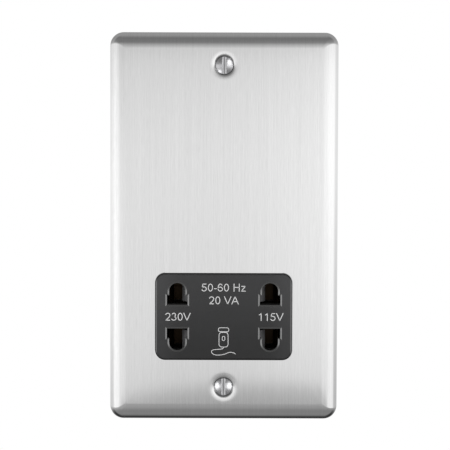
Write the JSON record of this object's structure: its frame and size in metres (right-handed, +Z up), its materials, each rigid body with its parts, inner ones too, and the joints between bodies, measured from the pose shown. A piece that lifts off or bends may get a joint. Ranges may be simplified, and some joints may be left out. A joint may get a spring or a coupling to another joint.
{
  "type": "shaver socket",
  "caption": "Dual-voltage shaver socket on an upright brushed steel wall plate, with a dark panel of stepped pin holes, an interlock slider and an isolating transformer behind.",
  "frame": {"origin": "centre of the plate on the wall plane, midway between the fixing screws", "axes": "+X to the right seen from the front, +Y into the wall, +Z up"},
  "size_m": [0.086, 0.0423, 0.146],
  "materials": {
    "plate_steel": "vertical brushed satin",
    "screw_chrome": "polished",
    "insert_plastic": "fine satin moulding",
    "slider_plastic": "plain moulding",
    "spring_steel": "drawn wire",
    "carrier_plastic": "plain moulding",
    "housing_plastic": "spark-eroded moulding",
    "zinc_steel": "bright zinc",
    "core_steel": "varnished laminations",
    "bobbin_plastic": "plain moulding",
    "copper_wire": "enamelled wire",
    "tinned_brass": "tinned",
    "cutout_can": "drawn can",
    "terminal_brass": "machined",
    "contact_bronze": "tarnished rolled strip",
    "black_lead": "extruded sleeve",
    "red_lead": "extruded sleeve",
    "yellow_lead": "extruded sleeve",
    "blue_lead": "extruded sleeve",
    "brown_lead": "extruded sleeve"
  },
  "bodies": {
    "base": {"front_plate": "plate_steel", "fixing_screws": "screw_chrome", "socket_insert": "insert_plastic", "left_centring_spring": "spring_steel", "right_centring_spring": "spring_steel", "contact_carrier": "carrier_plastic", "rear_housing": "housing_plastic", "weld_studs": "zinc_steel", "stud_nuts": "zinc_steel", "transformer_core": "core_steel", "bobbin": "bobbin_plastic", "primary_winding": "copper_wire", "secondary_winding": "copper_wire", "bobbin_pins": "tinned_brass", "thermal_cutout": "cutout_can", "terminal_screws": "zinc_steel", "earth_strap": "tinned_brass", "earth_terminal": "terminal_brass", "neutral_terminal": "terminal_brass", "live_terminal": "terminal_brass", "common_lead": "black_lead", "common_link_lead": "black_lead", "high_voltage_lead": "red_lead", "low_voltage_lead": "yellow_lead", "neutral_lead": "blue_lead", "live_lead": "brown_lead", "contact_230v_upper": "contact_bronze", "contact_230v_lower": "contact_bronze", "contact_115v_upper": "contact_bronze", "contact_115v_lower": "contact_bronze"},
    "slider": {"interlock_slider": "slider_plastic"}
  },
  "joints": [
    {"name": "interlock_slide", "type": "slide", "parent": "base", "child": "slider", "axis": [1, 0, 0], "range_m": [-0.0026, 0.0026], "stiffness_N_per_m": 200, "deforming": ["left_centring_spring", "right_centring_spring"]}
  ]
}
